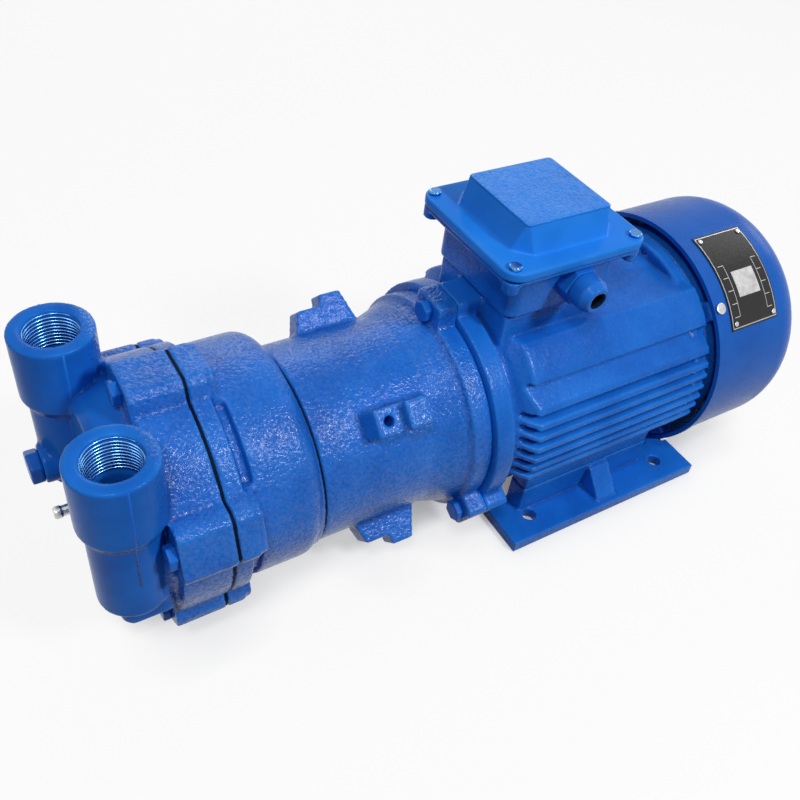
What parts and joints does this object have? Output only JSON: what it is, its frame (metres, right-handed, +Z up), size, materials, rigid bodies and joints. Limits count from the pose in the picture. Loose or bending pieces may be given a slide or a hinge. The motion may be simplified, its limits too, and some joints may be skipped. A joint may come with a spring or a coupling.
{
  "type": "liquid ring vacuum pump",
  "caption": "Close coupled liquid ring vacuum pump: eccentric casing with twin top ports, finned foot mounted motor, terminal box and fan cover.",
  "frame": {"origin": "centre of the foot bolt pattern, on the plane the feet stand on", "axes": "+X along the shaft from the pump cover to the fan cover, +Z up, the cable gland on the -Y side"},
  "size_m": [0.5328, 0.1804, 0.2392],
  "materials": {
    "blue_casting": "glossy blue enamel over grey cast iron",
    "blue_enamel": "glossy blue enamel over steel",
    "gasket_rubber": "dull black sealing material",
    "machined_iron": "machined face, oiled",
    "bronze": "cast bronze with machined tips",
    "bright_steel": "plain or zinc plated steel",
    "bearing_steel": "ground bearing steel",
    "brass": "plain brass",
    "seal_carbon": "lapped carbon",
    "seal_ceramic": "lapped ceramic",
    "core_steel": "stacked sheet edges",
    "winding_copper": "varnished copper wire",
    "cast_aluminium": "cast aluminium",
    "fan_plastic": "black moulded plastic",
    "plate_black": "black printed aluminium, left without words",
    "block_plastic": "brown moulded plastic"
  },
  "bodies": {
    "housing": {"port_cover": "blue_casting", "cover_gasket": "gasket_rubber", "port_plate": "machined_iron", "impeller_casing": "blue_casting", "casing_gasket": "gasket_rubber", "motor_adapter": "blue_casting", "seal_seat": "seal_ceramic", "cover_bolts": "blue_enamel", "casing_screws": "bright_steel", "flange_bolts": "blue_enamel", "drain_plug": "blue_enamel", "fill_plug": "blue_enamel", "service_nipple": "bright_steel", "motor_frame": "blue_casting", "left_foot": "blue_casting", "right_foot": "blue_casting", "foot_bolts": "bright_steel", "stator_core": "core_steel", "stator_windings": "winding_copper", "front_outer_ring": "bearing_steel", "rear_outer_ring": "bearing_steel", "wave_spring": "bright_steel", "rear_end_shield": "blue_casting", "shield_bolts": "bright_steel", "fan_cover": "blue_enamel", "fan_cover_screws": "bright_steel", "nameplate": "plate_black", "nameplate_rivets": "bright_steel", "terminal_box": "blue_casting", "box_gasket": "gasket_rubber", "terminal_lid": "blue_enamel", "lid_gasket": "gasket_rubber", "lid_screws": "blue_enamel", "terminal_block": "block_plastic", "terminal_studs": "brass", "terminal_links": "brass", "gland_body": "blue_enamel", "gland_nut": "blue_enamel", "gland_seal": "gasket_rubber", "gland_locknut": "bright_steel"},
    "rotor": {"impeller": "bronze", "impeller_key": "bright_steel", "impeller_washer": "bright_steel", "impeller_bolt": "bright_steel", "seal_ring": "seal_carbon", "seal_spring": "bright_steel", "rotor_core": "core_steel", "rotor_end_rings": "cast_aluminium", "shaft": "bright_steel", "front_inner_ring": "bearing_steel", "rear_inner_ring": "bearing_steel", "cooling_fan": "fan_plastic", "fan_circlip": "bright_steel"},
    "front_ball_set": {"front_balls": "bearing_steel", "front_cage": "brass"},
    "rear_ball_set": {"rear_balls": "bearing_steel", "rear_cage": "brass"}
  },
  "joints": [
    {"name": "rotor_spin", "type": "hinge", "parent": "housing", "child": "rotor", "pos_m": [0, 0, 0.09], "axis": [1, 0, 0], "continuous": true},
    {"name": "front_cage_spin", "type": "hinge", "parent": "housing", "child": "front_ball_set", "pos_m": [0, 0, 0.09], "axis": [1, 0, 0], "continuous": true},
    {"name": "rear_cage_spin", "type": "hinge", "parent": "housing", "child": "rear_ball_set", "pos_m": [0, 0, 0.09], "axis": [1, 0, 0], "continuous": true}
  ],
  "couplings": [
    {"joint": "front_cage_spin", "follows": "rotor_spin", "ratio": 0.3767},
    {"joint": "rear_cage_spin", "follows": "rotor_spin", "ratio": 0.3983}
  ]
}
